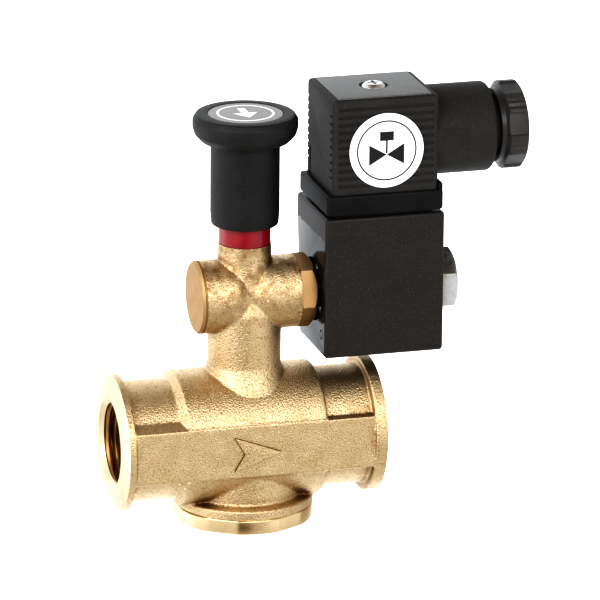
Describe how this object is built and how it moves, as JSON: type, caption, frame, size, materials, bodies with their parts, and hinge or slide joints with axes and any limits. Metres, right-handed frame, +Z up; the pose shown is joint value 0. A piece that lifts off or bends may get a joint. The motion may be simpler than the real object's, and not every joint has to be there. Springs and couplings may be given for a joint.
{
  "type": "manual-reset solenoid valve",
  "caption": "Brass manual-reset solenoid gas valve with threaded ports, a mushroom reset knob over a red band, and a side coil with a plug-on connector.",
  "frame": {"origin": "centre of the bottom plug's flat underside, on the stem axis", "axes": "+Z up along the reset stem, +X along the pipe in the direction of flow towards the coil, +Y to the back"},
  "size_m": [0.1003, 0.0334, 0.105],
  "materials": {
    "cast_brass": "shot-blasted, satin gold",
    "machined_brass": "turned, bright",
    "stainless_steel": "turned",
    "spring_steel": "drawn wire",
    "zinc_steel": "bright zinc plate",
    "core_iron": "turned",
    "copper": "enamelled wire",
    "tinned_brass": "tin plate",
    "black_rubber": "matt",
    "black_gasket": "matt, slightly rough",
    "black_knob_plastic": "fine moulded grain",
    "red_plastic": "smooth",
    "grey_label": "satin film",
    "natural_plastic": "moulded",
    "coil_resin": "moulded, slightly rough",
    "connector_plastic": "moulded",
    "connector_lid_plastic": "fine grain",
    "white_label": "satin film"
  },
  "bodies": {
    "valve": {"valve_body": "cast_brass", "bottom_plug": "machined_brass", "bottom_plug_seal": "black_rubber", "closing_spring": "spring_steel", "stem_guide_bush": "machined_brass", "indicator_band": "red_plastic", "core_tube_fitting": "machined_brass", "fitting_oring": "black_rubber", "armature_tube": "stainless_steel", "armature_spring": "spring_steel", "fixed_core": "core_iron", "shading_ring": "copper", "coil_washer": "zinc_steel", "coil_nut": "zinc_steel"},
    "reset": {"shutter_disc": "machined_brass", "shutter_seal": "black_rubber", "seal_washer": "stainless_steel", "shutter_nut": "stainless_steel", "reset_stem": "stainless_steel", "stem_oring": "black_rubber", "reset_knob": "black_knob_plastic", "knob_nut": "stainless_steel", "knob_label_disc": "grey_label"},
    "latch": {"armature": "core_iron", "latch_pin": "stainless_steel"},
    "coil": {"coil_housing": "coil_resin", "magnetic_yoke": "core_iron", "coil_bobbin": "natural_plastic", "coil_winding": "copper", "coil_terminals": "tinned_brass", "coil_screw_insert": "machined_brass", "connector_gasket": "black_gasket", "connector_housing": "connector_plastic", "connector_lid": "connector_lid_plastic", "connector_screw": "zinc_steel", "contact_block": "natural_plastic", "contact_sleeves": "tinned_brass", "contact_screws": "zinc_steel", "rating_sticker": "white_label", "gland_grommet": "black_rubber", "gland_washer": "natural_plastic"},
    "gland": {"gland_nut": "connector_plastic"}
  },
  "joints": [
    {"name": "knob_press", "type": "slide", "parent": "valve", "child": "reset", "axis": [0, 0, 1], "range_m": [-0.0048, 0], "stiffness_N_per_m": 900, "springref_m": 0.004, "deforming": ["closing_spring"]},
    {"name": "latch_slide", "type": "slide", "parent": "valve", "child": "latch", "axis": [1, 0, 0], "range_m": [-0.0012, 0.002], "stiffness_N_per_m": 60, "deforming": ["armature_spring"]},
    {"name": "coil_swivel", "type": "hinge", "parent": "valve", "child": "coil", "pos_m": [0.0315, 0, 0.055], "axis": [1, 0, 0], "range_deg": [-90, 90]},
    {"name": "gland_turn", "type": "hinge", "parent": "coil", "child": "gland", "pos_m": [0.064, 0, 0.0924], "axis": [1, 0, 0], "continuous": true}
  ]
}
